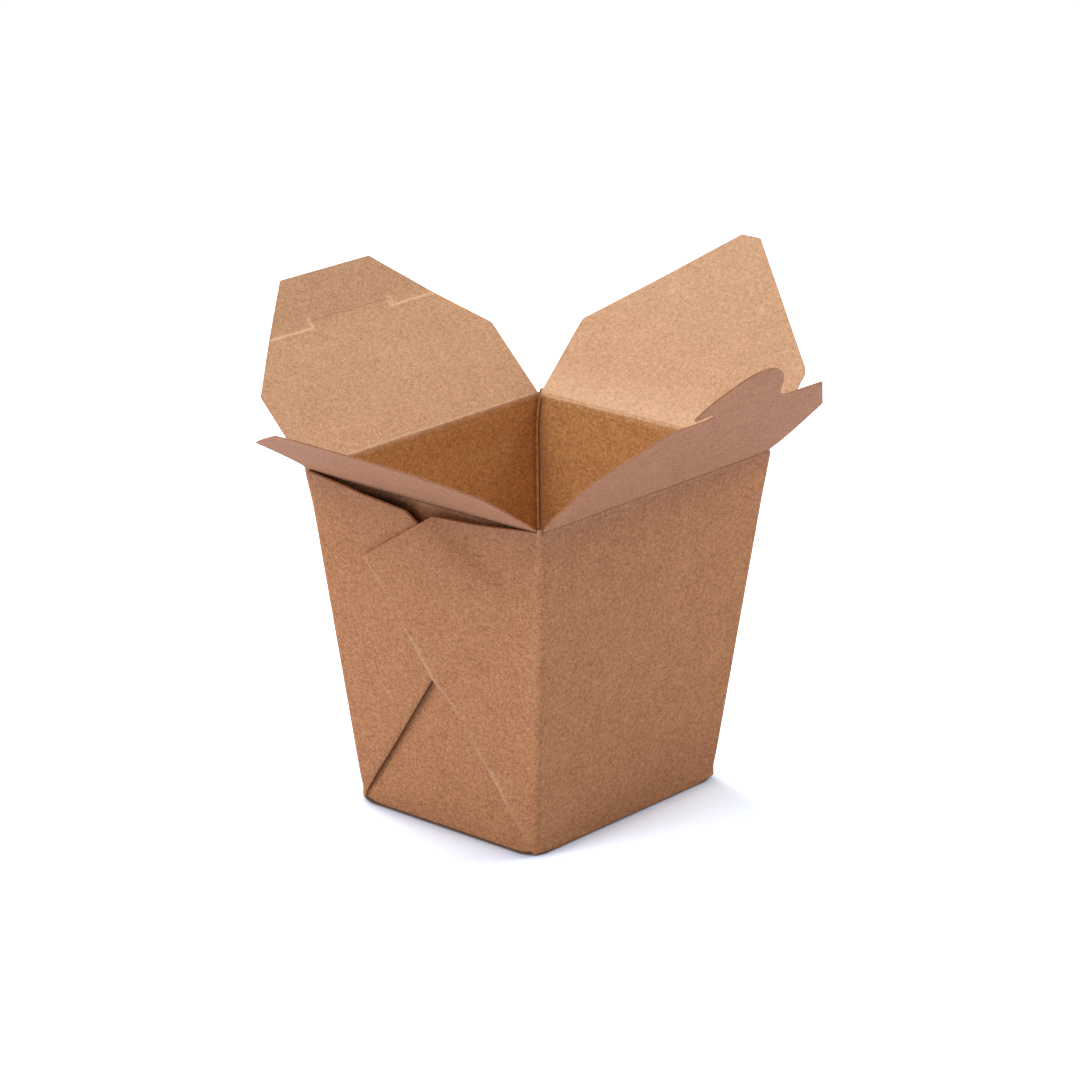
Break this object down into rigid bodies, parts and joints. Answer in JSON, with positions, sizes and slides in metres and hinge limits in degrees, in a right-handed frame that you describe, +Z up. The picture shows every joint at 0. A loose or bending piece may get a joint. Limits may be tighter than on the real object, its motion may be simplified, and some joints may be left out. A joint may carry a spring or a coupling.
{
  "type": "folded paperboard noodle takeaway box",
  "caption": "Empty open kraft paperboard takeaway tub, tapered, with folded corner webs and hinged lid flaps, one with a locking tongue and one with its slit.",
  "frame": {"origin": "centre of the flat underside of the base", "axes": "+Z up; -Y towards the plain wall whose flap carries the locking tongue, +Y towards the wall whose flap has the slit, -X and +X towards the walls that carry the folded webs"},
  "size_m": [0.2042, 0.178, 0.151],
  "materials": {
    "kraft_board": "uncoated matt brown kraft paperboard, fibrous, with small dark specks"
  },
  "bodies": {
    "tub": {"tub": "kraft_board"},
    "flap_front": {"flap_front": "kraft_board"},
    "flap_back": {"flap_back": "kraft_board"},
    "flap_back_tip": {"flap_back_tip": "kraft_board"},
    "flap_left": {"flap_left": "kraft_board"},
    "flap_right": {"flap_right": "kraft_board"}
  },
  "joints": [
    {"name": "front_crease", "type": "hinge", "parent": "tub", "child": "flap_front", "pos_m": [0, -0.04445, 0.102], "axis": [-1, 0, 0], "range_deg": [-135, 133.5]},
    {"name": "back_crease", "type": "hinge", "parent": "tub", "child": "flap_back", "pos_m": [0, 0.04445, 0.102], "axis": [1, 0, 0], "range_deg": [-134.5, 135.5]},
    {"name": "back_tip_score", "type": "hinge", "parent": "flap_back", "child": "flap_back_tip", "pos_m": [0, 0.07327, 0.13117], "axis": [-1, 0, 0], "range_deg": [-35, 4.5]},
    {"name": "left_crease", "type": "hinge", "parent": "tub", "child": "flap_left", "pos_m": [-0.05005, 0, 0.1014], "axis": [0, 1, 0], "range_deg": [-79.5, 153.3]},
    {"name": "right_crease", "type": "hinge", "parent": "tub", "child": "flap_right", "pos_m": [0.05005, 0, 0.1014], "axis": [0, -1, 0], "range_deg": [-95, 135.8]}
  ]
}
